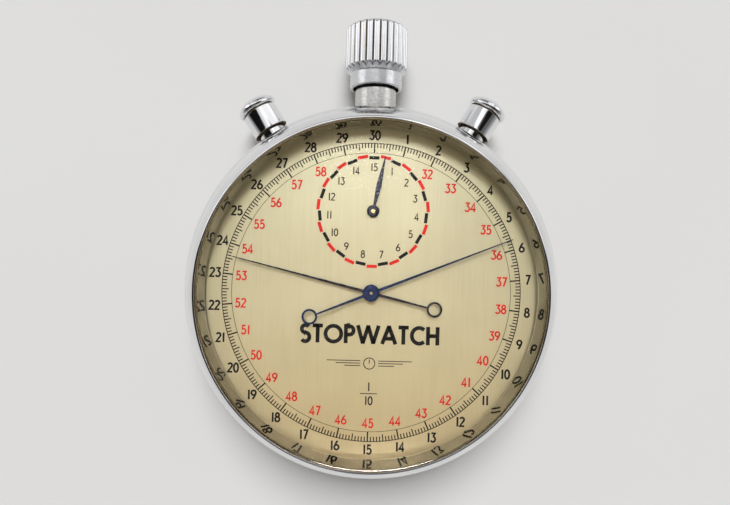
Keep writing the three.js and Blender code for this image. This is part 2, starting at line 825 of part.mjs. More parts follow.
buildCase();
buildCrown();
buildPushers();
buildDial();
buildHands();
buildPlates();
buildTrain();
buildWinding();
buildChronograph();

export default group;
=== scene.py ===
"""Looks of the split-seconds stopwatch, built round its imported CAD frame.

+Z points out of the dial and +Y to 12 o'clock. Sizes here are in millimetres; MM turns them into metres.
"""

import json
import math

import bpy
from mathutils import Matrix, Vector


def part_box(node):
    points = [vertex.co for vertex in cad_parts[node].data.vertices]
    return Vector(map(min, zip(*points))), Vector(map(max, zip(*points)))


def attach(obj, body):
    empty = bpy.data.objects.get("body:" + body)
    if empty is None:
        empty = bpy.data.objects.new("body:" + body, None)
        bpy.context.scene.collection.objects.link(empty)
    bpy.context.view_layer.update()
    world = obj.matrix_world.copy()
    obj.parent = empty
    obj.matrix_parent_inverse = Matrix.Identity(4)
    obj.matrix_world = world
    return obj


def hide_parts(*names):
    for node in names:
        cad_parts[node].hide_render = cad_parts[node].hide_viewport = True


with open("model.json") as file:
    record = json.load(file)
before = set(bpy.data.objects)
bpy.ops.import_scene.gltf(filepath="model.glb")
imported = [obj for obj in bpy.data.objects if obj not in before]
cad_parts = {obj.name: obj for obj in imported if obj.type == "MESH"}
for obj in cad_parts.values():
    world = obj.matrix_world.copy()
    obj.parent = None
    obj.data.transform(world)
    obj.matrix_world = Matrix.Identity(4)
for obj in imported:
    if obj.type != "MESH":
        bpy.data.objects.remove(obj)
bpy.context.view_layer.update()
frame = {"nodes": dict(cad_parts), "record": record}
MM = 0.001
TAU = 2 * math.pi


def span(node, axis):
    """(low, high) of a CAD node along an axis, in millimetres."""
    low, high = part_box(node)
    return low[axis] / MM, high[axis] / MM


# ---------- places taken from the frame, in millimetres ----------
CASE_R = span("back_cover", 0)[1]
CASE_W = span("case_middle", 0)[1]
SEAM_Z = span("case_middle", 2)[1]
BEZEL_TOP = span("bezel", 2)[1]
DIAL_Z = span("dial", 2)[1]
DIAL_R = span("dial", 0)[1]
STEM_Z = sum(span("crown", 2)) / 2
SUB_Y = sum(span("minute_wheel", 1)) / 2
SWEEP_Z = span("sweep_hand", 2)
SPLIT_Z = span("split_hand", 2)
MINUTE_Z = span("minute_hand", 2)
CROWN_Y = span("crown", 1)
CRYSTAL_Z = span("crystal", 2)
PENDANT_R = span("pendant_tube", 0)[1]
CROWN_R = span("crown", 0)[1]

# ---------- scales on the dial, in millimetres ----------
PUSH_DEG = {"left": 33.4, "right": -31.4}
SWEEP_DEG = 67.8
SPLIT_DEG = 283.4
MINUTE_DEG = 11.5
TICK_OUT = 25.25
TICK_LONG = 23.6
TICK_HALF = 24.1
TICK_SHORT = 24.45
OUTER_NUMBER_R = 26.6
INNER_NUMBER_R = 22.15
SUB_RING_R = 9.2
SUB_NUMBER_R = 7.45
WORD_Y = -7.15
DEVICE_Y = -12.05
FRACTION_Y = -17.15


# ---------- mesh helpers ----------
def add_mesh(name, verts, faces, smooth=True, sharp=35.0):
    mesh = bpy.data.meshes.new(name)
    mesh.from_pydata([Vector(v) * MM for v in verts], [], faces)
    mesh.validate()
    mesh.update()
    if smooth:
        mesh.shade_smooth()
        mesh.set_sharp_from_angle(angle=math.radians(sharp))
    obj = bpy.data.objects.new(name, mesh)
    bpy.context.scene.collection.objects.link(obj)
    return obj


def rounded(points, radii, steps=4):
    """A profile with some corners rounded; radii is {corner: size}."""
    out = [points[0]]
    for i in range(1, len(points) - 1):
        r = radii.get(i, 0.0)
        a, b, c = (Vector(points[k]) for k in (i - 1, i, i + 1))
        if r <= 0 or (a - b).length < 1e-6 or (c - b).length < 1e-6:
            out.append(points[i])
            continue
        cut = min(r, 0.45 * (a - b).length, 0.45 * (c - b).length)
        start = b + (a - b).normalized() * cut
        end = b + (c - b).normalized() * cut
        for k in range(steps + 1):
            t = k / steps
            p = start * (1 - t) ** 2 + b * 2 * t * (1 - t) + end * t**2
            out.append((p.x, p.y))
    out.append(points[-1])
    return out


def lathe(name, profile, segments=160, sharp=35.0, radius=None):
    """A solid turned about Z from (radius, height) pairs. A profile off the axis closes on itself."""
    closed = profile[0][0] > 1e-6
    verts, rings = [], []
    for r, z in profile:
        if r < 1e-6:
            rings.append([len(verts)] * segments)
            verts.append((0, 0, z))
            continue
        ring = []
        for k in range(segments):
            a = TAU * k / segments
            rr = r if radius is None else radius(r, z, a)
            ring.append(len(verts))
            verts.append((rr * math.cos(a), rr * math.sin(a), z))
        rings.append(ring)
    pairs = list(zip(rings, rings[1:]))
    if closed:
        pairs.append((rings[-1], rings[0]))
    faces = []
    for low, high in pairs:
        for k in range(segments):
            n = (k + 1) % segments
            face = [low[k], low[n], high[n], high[k]]
            face = [v for i, v in enumerate(face) if v != face[i - 1]]
            if len(face) > 2:
                faces.append(face)
    area = sum(
        a[0] * b[1] - b[0] * a[1] for a, b in zip(profile, list(profile[1:]) + [profile[0]])
    )
    if area < 0:
        faces = [f[::-1] for f in faces]
    return add_mesh(name, verts, faces, sharp=sharp)


def prism(outline, z0, z1):
    """(verts, faces) of a flat plate from an outline drawn anticlockwise."""
    n = len(outline)
    verts = [(x, y, z0) for x, y in outline] + [(x, y, z1) for x, y in outline]
    faces = [list(range(n))[::-1], list(range(n, 2 * n))]
    faces += [[k, (k + 1) % n, n + (k + 1) % n, n + k] for k in range(n)]
    return verts, faces


def join_parts(parts):
    verts, faces = [], []
    for pv, pf in parts:
        base = len(verts)
        verts += pv
        faces += [[i + base for i in f] for f in pf]
    return verts, faces


def ribbon(points, width, z0, z1, closed=False):
    """A printed line: a thin closed strip of constant width along a path."""
    pts = [Vector(p) for p in points]
    n = len(pts)
    left, right = [], []
    for i, p in enumerate(pts):
        before = pts[i - 1] if (i > 0 or closed) else None
        after = pts[(i + 1) % n] if (i < n - 1 or closed) else None
        d0 = (p - before).normalized() if before is not None else None
        d1 = (after - p).normalized() if after is not None else None
        d = d1 if d0 is None else d0 if d1 is None else (d0 + d1).normalized()
        normal = Vector((-d.y, d.x))
        stretch = 1.0
        if d0 is not None and d1 is not None:
            stretch = min(1.8, 1.0 / max(0.3, normal.dot(Vector((-d1.y, d1.x)))))
        left.append(p + normal * width / 2 * stretch)
        right.append(p - normal * width / 2 * stretch)
    verts, faces = [], []
    for side, z in ((left, z0), (right, z0), (left, z1), (right, z1)):
        verts += [(p.x, p.y, z) for p in side]
    for i in range(n if closed else n - 1):
        j = (i + 1) % n
        faces.append([2 * n + i, 3 * n + i, 3 * n + j, 2 * n + j])
        faces.append([i, j, n + j, n + i])
        faces.append([i, 2 * n + i, 2 * n + j, j])
        faces.append([n + i, n + j, 3 * n + j, 3 * n + i])
    if not closed:
        faces.append([0, n, 3 * n, 2 * n])
        last = n - 1
        faces.append([last, 2 * n + last, 3 * n + last, n + last])
    return verts, faces


def arc(cx, cy, rx, ry, start, end, steps=14):
    """Points round an ellipse; degrees, anticlockwise from +X."""
    out = []
    for k in range(steps + 1):
        a = math.radians(start + (end - start) * k / steps)
        out.append((cx + rx * math.cos(a), cy + ry * math.sin(a)))
    return out


def on_clock(r, deg):
    return r * math.sin(math.radians(deg)), r * math.cos(math.radians(deg))


# ---------- lettering: strokes in a box one unit high ----------
def glyphs():
    w = 0.52
    nine_bowl = arc(0.27, 0.70, 0.235, 0.245, 0, 360, 22)
    six_bowl = arc(0.27, 0.30, 0.235, 0.245, 0, 360, 22)
    return {
        "0": (w, [arc(0.27, 0.5, 0.225, 0.455, 0, 360, 28)]),
        "1": (0.30, [[(0.17, 0.0), (0.17, 1.0)]]),
        "2": (w, [arc(0.26, 0.735, 0.21, 0.215, 160, -32, 14) + [(0.03, 0.05), (0.50, 0.05)]]),
        "3": (
            w,
            [
                [(0.06, 0.95), (0.45, 0.95), (0.235, 0.60)],
                arc(0.235, 0.325, 0.235, 0.275, 90, -155, 18),
            ],
        ),
        "4": (0.56, [[(0.38, 0.0), (0.38, 0.97), (0.03, 0.27), (0.54, 0.27)]]),
        "5": (
            w,
            [[(0.45, 0.95), (0.14, 0.95), (0.10, 0.55)] + arc(0.235, 0.33, 0.235, 0.285, 118, -150, 18)],
        ),
        "6": (w, [six_bowl, [(0.375, 0.98), (0.20, 0.72), (0.07, 0.43), (0.04, 0.30)]]),
        "7": (0.48, [[(0.03, 0.95), (0.45, 0.95), (0.17, 0.0)]]),
        "8": (
            w,
            [arc(0.26, 0.745, 0.175, 0.205, 0, 360, 20), arc(0.26, 0.29, 0.225, 0.245, 0, 360, 22)],
        ),
        "9": (w, [nine_bowl, [(0.165, 0.02), (0.34, 0.28), (0.47, 0.57), (0.50, 0.70)]]),
        "S": (
            0.60,
            [arc(0.28, 0.735, 0.20, 0.205, 35, 270, 16) + arc(0.28, 0.29, 0.225, 0.24, 90, -145, 16)],
        ),
        "T": (0.62, [[(0.0, 0.93), (0.56, 0.93)], [(0.28, 0.0), (0.28, 0.93)]]),
        "O": (0.98, [arc(0.45, 0.5, 0.43, 0.43, 0, 360, 32)]),
        "P": (
            0.60,
            [
                [(0.08, 0.0), (0.08, 0.93), (0.28, 0.93)]
                + arc(0.28, 0.70, 0.22, 0.23, 90, -90, 12)
                + [(0.08, 0.47)]
            ],
        ),
        "W": (
            1.28,
            [
                [(0.06, 1.0), (0.35, 0.0)],
                [(0.34, 0.0), (0.64, 1.0)],
                [(0.62, 1.0), (0.92, 0.0)],
                [(0.91, 0.0), (1.2, 1.0)],
            ],
        ),
        "A": (0.86, [[(0.05, 0.0), (0.42, 1.0)], [(0.40, 1.0), (0.79, 0.0)], [(0.17, 0.3), (0.65, 0.3)]]),
        "C": (0.78, [arc(0.45, 0.5, 0.40, 0.43, 48, 312, 24)]),
        "H": (0.72, [[(0.08, 0.0), (0.08, 1.0)], [(0.60, 0.0), (0.60, 1.0)], [(0.08, 0.5), (0.60, 0.5)]]),
    }


GLYPHS = glyphs()
INK_Z = (DIAL_Z - 0.02, DIAL_Z + 0.025)


def closed_path(path):
    return len(path) > 8 and math.dist(path[0], path[-1]) < 1e-4


def text(word, cx, cy, height, weight, gap=0.1):
    """Strips for a word centred on a point."""
    widths = [GLYPHS[c][0] for c in word]
    total = sum(widths) + gap * (len(word) - 1)
    x = -total / 2
    parts = []
    for c, w in zip(word, widths):
        for path in GLYPHS[c][1]:
            pts = [(cx + (x + px) * height, cy + (py - 0.5) * height) for px, py in path]
            ring = closed_path(path)
            parts.append(ribbon(pts[:-1] if ring else pts, weight, *INK_Z, closed=ring))
        x += w + gap
    return parts


# ---------- materials ----------
def new_material(name):
    mat = bpy.data.materials.new(name)
    mat.use_nodes = True
    nodes = mat.node_tree.nodes
    return mat, nodes, mat.node_tree.links, nodes["Principled BSDF"]


def noise(nodes, links, scale, detail=4.0, stretch=(1, 1, 1)):
    coord = nodes.new("ShaderNodeTexCoord")
    mapping = nodes.new("ShaderNodeMapping")
    mapping.inputs["Scale"].default_value = stretch
    tex = nodes.new("ShaderNodeTexNoise")
    tex.inputs["Scale"].default_value = scale
    tex.inputs["Detail"].default_value = detail
    links.new(coord.outputs["Object"], mapping.inputs["Vector"])
    links.new(mapping.outputs["Vector"], tex.inputs["Vector"])
    return tex.outputs["Fac"]


def ramp(nodes, links, source, stops):
    node = nodes.new("ShaderNodeValToRGB")
    elements = node.color_ramp.elements
    while len(elements) < len(stops):
        elements.new(0.5)
    for element, (at, color) in zip(elements, stops):
        element.position = at
        element.color = (*color, 1)
    links.new(source, node.inputs["Fac"])
    return node.outputs["Color"]


def to_range(nodes, links, source, low, high, start=0.3, end=0.7):
    node = nodes.new("ShaderNodeMapRange")
    node.inputs["From Min"].default_value = start
    node.inputs["From Max"].default_value = end
    node.inputs["To Min"].default_value = low
    node.inputs["To Max"].default_value = high
    links.new(source, node.inputs["Value"])
    return node.outputs["Result"]


def tinted(nodes, links, a, b):
    """One colour multiplied by another."""
    node = nodes.new("ShaderNodeMix")
    node.data_type = "RGBA"
    node.blend_type = "MULTIPLY"
    node.inputs["Factor"].default_value = 1.0
    links.new(a, node.inputs["A"])
    links.new(b, node.inputs["B"])
    return node.outputs["Result"]


def calculate(nodes, links, operation, a, b):
    """A math node; a and b are sockets or numbers."""
    node = nodes.new("ShaderNodeMath")
    node.operation = operation
    for value, socket in zip((a, b), node.inputs):
        if isinstance(value, (int, float)):
            socket.default_value = value
        else:
            links.new(value, socket)
    return node.outputs["Value"]


def patch(nodes, links, x, y, box, soft=0.06):
    """One inside (x0, x1, y0, y1) of the sky, fading to nothing round it."""
    total = None
    for source, low, high in ((x, box[0], box[1]), (y, box[2], box[3])):
        rise = to_range(nodes, links, source, 0, 1, low - soft, low)
        fall = to_range(nodes, links, source, 1, 0, high, high + soft)
        inside = calculate(nodes, links, "MULTIPLY", rise, fall)
        total = inside if total is None else calculate(nodes, links, "MULTIPLY", total, inside)
    return total


def bump(nodes, links, source, strength, distance, bsdf):
    node = nodes.new("ShaderNodeBump")
    node.inputs["Strength"].default_value = strength
    node.inputs["Distance"].default_value = distance
    links.new(source, node.inputs["Height"])
    links.new(node.outputs["Normal"], bsdf.inputs["Normal"])


def metal(name, dark, light, rough, grain=900.0, stretch=(1, 1, 1), bump_strength=0.05, metallic=1.0):
    """Metal whose tint and polish vary a little, with fine marks."""
    mat, nodes, links, bsdf = new_material(name)
    tint = noise(nodes, links, 160.0, 5.0)
    links.new(ramp(nodes, links, tint, [(0.3, dark), (0.7, light)]), bsdf.inputs["Base Color"])
    bsdf.inputs["Metallic"].default_value = metallic
    fine = noise(nodes, links, grain, 3.0, stretch)
    links.new(to_range(nodes, links, fine, rough[0], rough[1]), bsdf.inputs["Roughness"])
    bump(nodes, links, fine, bump_strength, 2e-5, bsdf)
    return mat


def ink(name, color, light):
    """Paint or another dull solid colour, slightly uneven."""
    mat, nodes, links, bsdf = new_material(name)
    tone = noise(nodes, links, 1400.0, 3.0)
    links.new(ramp(nodes, links, tone, [(0.3, color), (0.75, light)]), bsdf.inputs["Base Color"])
    bsdf.inputs["Roughness"].default_value = 0.5
    bsdf.inputs["Specular IOR Level"].default_value = 0.1
    bump(nodes, links, tone, 0.1, 1e-5, bsdf)
    return mat


def dial_material():
    """Silvered dial gone cream and warmer toward 6 o'clock, with painted shade that also darkens it toward 6
    o'clock: fine upright grain and faint blotches.
    """
    mat, nodes, links, bsdf = new_material("dial_silvered")
    grain = noise(nodes, links, 900.0, 3.0, (6.0, 0.12, 1.0))
    blotch = noise(nodes, links, 90.0, 6.0)
    coord = nodes.new("ShaderNodeTexCoord")
    split = nodes.new("ShaderNodeSeparateXYZ")
    links.new(coord.outputs["Object"], split.inputs["Vector"])
    height = to_range(nodes, links, split.outputs["Y"], 0.0, 1.0, -DIAL_R * MM, DIAL_R * MM)
    # the tint up the dial, partly painted shade that darkens it toward 6 o'clock
    base = ramp(nodes, links, height, DIAL_TINT_AND_SHADE)
    patina = ramp(nodes, links, blotch, [(0.3, (0.93, 0.925, 0.91)), (0.7, (1.0, 1.0, 1.0))])
    fine = ramp(nodes, links, grain, [(0.3, (0.92, 0.915, 0.90)), (0.7, (1.0, 1.0, 1.0))])
    colour = tinted(nodes, links, tinted(nodes, links, base, patina), fine)
    links.new(colour, bsdf.inputs["Base Color"])
    bsdf.inputs["Metallic"].default_value = 0.3
    links.new(to_range(nodes, links, grain, 0.34, 0.46), bsdf.inputs["Roughness"])
    bump(nodes, links, grain, 0.12, 1e-5, bsdf)
    return mat


def glass_material():
    """Domed acrylic that lets the lamps through to the dial."""
    mat, nodes, links, bsdf = new_material("crystal_acrylic")
    bsdf.inputs["Transmission Weight"].default_value = 1.0
    bsdf.inputs["IOR"].default_value = 1.05
    smear = noise(nodes, links, 60.0, 4.0)
    tint = ramp(nodes, links, smear, [(0.3, (0.985, 0.985, 0.98)), (0.7, (1, 1, 1))])
    links.new(tint, bsdf.inputs["Base Color"])
    bsdf.inputs["Roughness"].default_value = 0.0
    clear = nodes.new("ShaderNodeBsdfTransparent")
    path = nodes.new("ShaderNodeLightPath")
    mixed = nodes.new("ShaderNodeMixShader")
    links.new(path.outputs["Is Shadow Ray"], mixed.inputs["Fac"])
    links.new(bsdf.outputs["BSDF"], mixed.inputs[1])
    links.new(clear.outputs["BSDF"], mixed.inputs[2])
    links.new(mixed.outputs["Shader"], nodes["Material Output"].inputs["Surface"])
    return mat


CHROME = metal(
    "case_chrome", (0.78, 0.785, 0.80), (0.86, 0.865, 0.87), (0.045, 0.11), 700.0, bump_strength=0.02
)
WALL = metal(
    "rehaut_dull", (0.25, 0.24, 0.22), (0.32, 0.31, 0.285), (0.04, 0.09), 700.0, bump_strength=0.03
)
SKIRT_METAL = metal(
    "skirt_nickel", (0.66, 0.665, 0.68), (0.78, 0.785, 0.80), (0.22, 0.34), 1100.0, bump_strength=0.1
)
CROWN_METAL = metal(
    "crown_nickel", (0.74, 0.745, 0.76), (0.84, 0.845, 0.86), (0.07, 0.16), 1100.0, bump_strength=0.06
)
SATIN = metal("neck_satin", (0.56, 0.55, 0.53), (0.70, 0.69, 0.67), (0.2, 0.4), 2200.0, bump_strength=1.0)
BLUED = metal("blued_steel", (0.010, 0.018, 0.06), (0.020, 0.035, 0.11), (0.16, 0.3), 1500.0, metallic=0.8)
DARK = metal("dark_steel", (0.012, 0.013, 0.022), (0.03, 0.03, 0.045), (0.2, 0.34), 1500.0, metallic=0.7)
BRASS = metal("gear_brass", (0.60, 0.43, 0.17), (0.74, 0.56, 0.27), (0.16, 0.3), 1300.0)
STEEL = metal("lever_steel", (0.48, 0.49, 0.51), (0.62, 0.63, 0.65), (0.14, 0.28), 1500.0, (1, 6, 1))
NICKEL = metal("plate_gilt", (0.62, 0.58, 0.49), (0.74, 0.70, 0.60), (0.3, 0.42), 1700.0, (5, 1, 1), 0.2)
RUBY = ink("ruby", (0.30, 0.01, 0.04), (0.45, 0.02, 0.07))
# the crystal seal's own dark olive, also used as painted shade in the crown's grooves and inner rim and on
# the push-pieces' undersides, bores and cap grooves
SEAL_AND_PAINTED_SHADE = ink("old_seal_and_painted_shade", (0.055, 0.040, 0.016), (0.13, 0.10, 0.05))
BLACK = ink("ink_black", (0.006, 0.006, 0.007), (0.016, 0.015, 0.014))
RED = ink("ink_red", (0.40, 0.012, 0.010), (0.50, 0.028, 0.020))
# the dial's tint from 6 o'clock (0) up to 12 o'clock (1): its cream, warmer lower part, with painted shade
# darker toward 6 o'clock and a little darker at 12 o'clock
DIAL_TINT_AND_SHADE = [
    (0.0, (0.405, 0.32, 0.178)),
    (0.45, (0.445, 0.402, 0.263)),
    (0.8, (0.425, 0.397, 0.266)),
    (1.0, (0.415, 0.384, 0.258)),
]
DIAL = dial_material()
GLASS = glass_material()

SLOT_MATERIALS = {
    "chrome": CHROME,
    "satin": SATIN,
    "nickel": NICKEL,
    "brass": BRASS,
    "steel": STEEL,
    "blued": BLUED,
    "dark": DARK,
    "dial": DIAL,
    "ruby": RUBY,
    "glass": GLASS,
}


def finish_piece(obj, material, body, nodes=()):
    obj.data.materials.append(material)
    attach(obj, body)
    if nodes:
        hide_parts(*nodes)
    return obj


def place(obj, matrix):
    """Moves a mesh's own points, from its turning axis to its place in the row frame."""
    obj.data.transform(matrix)
    obj.data.update()
    return obj


def crown_axis():
    """Takes +Z to +Y at the height of the winding stem."""
    return Matrix.Translation((0, 0, STEM_Z * MM)) @ Matrix.Rotation(-math.pi / 2, 4, "X")


def push_axis(side):
    return Matrix.Rotation(math.radians(PUSH_DEG[side]), 4, "Z") @ crown_axis()


# ---------- case ----------
LIP_R = 28.22  # the bezel's inner edge over the crystal
WALL_FOOT_Z = 14.4  # where the bezel's inner wall meets the dial


def build_case():
    inner = 28.95
    middle = rounded(
        [
            (inner, 2.55),
            (CASE_R + 0.05, 2.55),
            (31.8, 4.6),
            (32.35, 7.0),
            (CASE_W, 9.6),
            (32.2, 11.2),
            (31.6, SEAM_Z - 0.15),
            (31.35, SEAM_Z),
            (inner, SEAM_Z),
        ],
        {2: 1.2, 3: 1.2, 4: 1.2, 5: 0.6, 6: 0.2},
        6,
    )
    finish_piece(lathe("case_middle_shell", middle, 256), CHROME, "case", ["case_middle"])
    cover = rounded(
        [
            (0, 0),
            (24, 0),
            (28.2, 0.45),
            (30.2, 1.35),
            (CASE_R, 2.3),
            (CASE_R, 2.45),
            (28.6, 2.45),
            (28.0, 1.45),
            (24, 1.0),
            (0, 1.0),
        ],
        {1: 2.0, 2: 1.4, 3: 0.9},
        6,
    )
    finish_piece(lathe("back_cover_shell", cover, 256), CHROME, "case", ["back_cover"])
    bezel = rounded(
        [
            (inner, SEAM_Z + 0.05),
            (31.35, SEAM_Z + 0.05),
            (31.5, SEAM_Z + 0.25),
            (31.2, 13.6),
            (30.45, 16.0),
            (29.62, 17.95),
            (28.9, 18.83),
            (28.5, BEZEL_TOP - 0.02),
            (LIP_R + 0.05, BEZEL_TOP),
            (LIP_R, BEZEL_TOP - 0.08),
            (LIP_R, 18.4),
            (28.1, 18.4),
            (27.87, 14.5),
            (27.87, 14.2),
            (inner, 14.0),
        ],
        {2: 0.15, 3: 1.0, 4: 1.0, 5: 0.7, 6: 0.3, 7: 0.12, 8: 0.05},
        6,
    )
    ring = finish_piece(lathe("bezel_ring", bezel, 256), CHROME, "case", ["bezel"])
    ring.data.materials.append(WALL)
    for face in ring.data.polygons:
        r = math.hypot(face.center.x, face.center.y) / MM
        if r < LIP_R + 0.01 and face.center.z / MM > WALL_FOOT_Z:
            face.material_index = 1
    rim = CRYSTAL_Z[0]
    top = CRYSTAL_Z[1]
    crystal = [
        (0, 19.55),
        (7, 19.5),
        (14, 19.25),
        (20, 18.98),
        (25, 18.65),
        (28.34, rim),
        (28.34, 19.1),
        (27.9, 19.3),
        (26, 19.52),
        (23, 19.85),
        (19, 20.15),
        (14, 20.4),
        (7, 20.56),
        (0, top),
    ]
    finish_piece(lathe("crystal_dome", crystal, 200), GLASS, "case", ["crystal"])
    seal = [(27.95, 18.36), (28.1, 18.2), (28.12, 18.39), (28.05, 18.44)]
    finish_piece(lathe("crystal_seal", seal, 200), SEAL_AND_PAINTED_SHADE, "case")
    tube = rounded(
        [(1.3, 29.2), (PENDANT_R, 29.2), (PENDANT_R, 35.42), (3.0, 35.5), (3.0, 36.5), (1.3, 36.5)],
        {2: 0.12},
        4,
    )
    neck = place(lathe("pendant_neck", tube, 96), crown_axis())
    finish_piece(neck, SATIN, "case", ["pendant_tube"])
    for side in PUSH_DEG:
        sleeve = [(1.15, 29.2), (2.35, 29.2), (2.35, 35.0), (1.15, 35.0)]
        obj = place(lathe(f"pusher_sleeve_{side}", sleeve, 72), push_axis(side))
        finish_piece(obj, CHROME, "case", [f"pusher_tube_{side}"])


# ---------- crown ----------
FLUTES = 27
FLUTE_DEPTH = 0.75
FLUTE_SHIFT = 0.33  # of one flute
SKIRT_Y = 38.2  # the foot of the cone below the flutes
FLUTE_FOOT_Y = 39.3
GROOVE_SHADE_DEPTH = 0.36  # the painted shade in a groove starts this far in


def crown_radius(r, y, angle):
    """Rounded ridges between sharp grooves, cut off by the flat top above and the cone below."""
    if y < SKIRT_Y or r < CROWN_R - FLUTE_DEPTH:
        return r
    off = abs((angle * FLUTES / TAU + FLUTE_SHIFT) % 1.0 - 0.5) * 2
    return min(r, CROWN_R - FLUTE_DEPTH * (1 - math.sqrt(max(0.0, 1 - off**2.4))))


def build_crown():
    bottom, top = CROWN_Y
    profile = rounded(
        [
            (0, top),
            (2.6, top - 0.15),
            (4.2, top - 0.38),
            (4.75, top - 0.5),
            (CROWN_R, top - 0.95),
            (CROWN_R, 41.0),
            (CROWN_R, 39.2),
            (4.6, SKIRT_Y),
            (4.6, 38.0),
            (4.6, bottom + 0.15),
            (4.42, bottom),
            (4.05, bottom),
            (3.95, bottom + 0.1),
            (3.95, 38.0),
            (0, 38.0),
        ],
        {1: 0.6, 2: 0.4, 3: 0.2, 4: 0.35, 7: 0.08},
        4,
    )
    dense = [profile[0]]
    for a, b in zip(profile, profile[1:]):
        steps = max(1, int(math.dist(a, b) / 0.16)) if b[1] > SKIRT_Y - 0.01 else 1
        for k in range(1, steps + 1):
            t = k / steps
            dense.append((a[0] + (b[0] - a[0]) * t, a[1] + (b[1] - a[1]) * t))
    crown = lathe("crown_fluted", dense, FLUTES * 14, sharp=40, radius=crown_radius)
    for material in (CROWN_METAL, SKIRT_METAL, SEAL_AND_PAINTED_SHADE):
        crown.data.materials.append(material)
    for face in crown.data.polygons:
        y = face.center.z / MM
        r = math.hypot(face.center.x, face.center.y) / MM
        # painted shade: the crown's inner rim and the deep part of each groove take the dark seal colour
        inner_rim_shade = y < bottom + 0.2 and r < 4.1
        groove_shade = FLUTE_FOOT_Y < y < top - 0.6 and 4.0 < r < CROWN_R - GROOVE_SHADE_DEPTH
        if inner_rim_shade or groove_shade:
            face.material_index = 2
        elif y < FLUTE_FOOT_Y and r > 4.0:
            face.material_index = 1
    place(crown, crown_axis())
    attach(crown, "crown")
    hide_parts("crown")


# ---------- push-pieces ----------
def build_pushers():
    for side in PUSH_DEG:
        profile = rounded(
            [
                (0, 36.5),
                (2.6, 36.5),
                (2.6, 33.5),
                (2.7, 33.4),
                (3.05, 33.4),
                (3.14, 33.5),
                (3.1, 33.75),
                (3.1, 37.3),
                (3.0, 37.42),
                (2.85, 37.46),
                (2.85, 37.6),
                (3.1, 37.66),
                (3.4, 37.82),
                (3.5, 38.15),
                (3.38, 38.65),
                (2.6, 39.35),
                (1.4, 39.75),
                (0, 39.85),
            ],
            {5: 0.05, 12: 0.1, 13: 0.25, 14: 0.35, 15: 0.6, 16: 0.8},
            5,
        )
        button = lathe(f"pusher_cap_{side}", profile, 96, sharp=30)
        finish_piece(button, CHROME, f"pusher_{side}", [f"pusher_button_{side}"])
        button.data.materials.append(SEAL_AND_PAINTED_SHADE)
        for face in button.data.polygons:
            y = face.center.z / MM
            r = math.hypot(face.center.x, face.center.y) / MM
            # painted shade: the underside, the groove under the cap and the bore take the dark seal colour
            under_cap_shade = 37.44 < y < 37.62 and r < 3.0
            bore_shade = y < 36.6 and r < 2.65
            if y < 33.45 or under_cap_shade or bore_shade:
                face.material_index = 1
        place(button, push_axis(side))


# ---------- dial ----------
def build_dial():
    back = DIAL_Z - 0.5
    plate = rounded([(1.05, back), (DIAL_R, back), (DIAL_R, DIAL_Z), (1.05, DIAL_Z)], {2: 0.05})
    obj = lathe("dial_plate", plate, 200)
    finish_piece(obj, DIAL, "case", ["dial"])

    black, red = [], []
    for i in range(300):
        inner = TICK_LONG if i % 10 == 0 else TICK_HALF if i % 5 == 0 else TICK_SHORT
        width = 0.24 if i % 10 == 0 else 0.185
        deg = i * 1.2
        black.append(ribbon([on_clock(inner, deg), on_clock(TICK_OUT, deg)], width, *INK_Z))
    for r, width in ((TICK_OUT, 0.13), (TICK_LONG, 0.075)):
        black.append(ribbon([on_clock(r, -k * 1.5) for k in range(240)], width, *INK_Z, closed=True))
    for i in range(1, 31):
        x, y = on_clock(OUTER_NUMBER_R, i * 12)
        black += text(str(i), x, y, 1.6, 0.32)
    for i in range(32, 59):
        x, y = on_clock(INNER_NUMBER_R, i * 12)
        red += text(str(i), x, y, 1.55, 0.27)

    for i in range(30):
        deg = i * 12
        r = SUB_RING_R - 0.15 if i % 2 == 0 else SUB_RING_R + 0.12
        half = r * math.tan(math.radians(5.4))
        x, y = on_clock(r, deg)
        dx, dy = on_clock(half, deg + 90)
        bar = ribbon([(x - dx, SUB_Y + y - dy), (x + dx, SUB_Y + y + dy)], 0.55, *INK_Z)
        (red if i % 2 else black).append(bar)
    for i in range(1, 16):
        x, y = on_clock(SUB_NUMBER_R, i * 24)
        black += text(str(i), x, SUB_Y + y, 1.28, 0.19)

    black += text("STOPWATCH", 0, WORD_Y, 3.1, 0.66, gap=0.07)
    black += text("1", 0, FRACTION_Y + 1.15, 1.45, 0.23)
    black += text("10", 0, FRACTION_Y - 1.2, 1.45, 0.23)
    black.append(ribbon([(-1.45, FRACTION_Y), (1.45, FRACTION_Y)], 0.13, *INK_Z))
    for sign in (-1, 1):
        for k in range(3):
            end = 7.2 - 1.5 * k
            y = DEVICE_Y + 0.45 - 0.42 * k
            black.append(ribbon([(sign * 1.5, y), (sign * end, y)], 0.13, *INK_Z))
    ring = arc(0, DEVICE_Y, 0.95, 0.95, 0, 360, 32)[:-1]
    black.append(ribbon(ring, 0.15, *INK_Z, closed=True))
    black.append(ribbon([(0, DEVICE_Y), (0, DEVICE_Y + 0.7)], 0.15, *INK_Z))

    finish_piece(add_mesh("print_black", *join_parts(black), smooth=False), BLACK, "case")
    finish_piece(add_mesh("print_red", *join_parts(red), smooth=False), RED, "case")


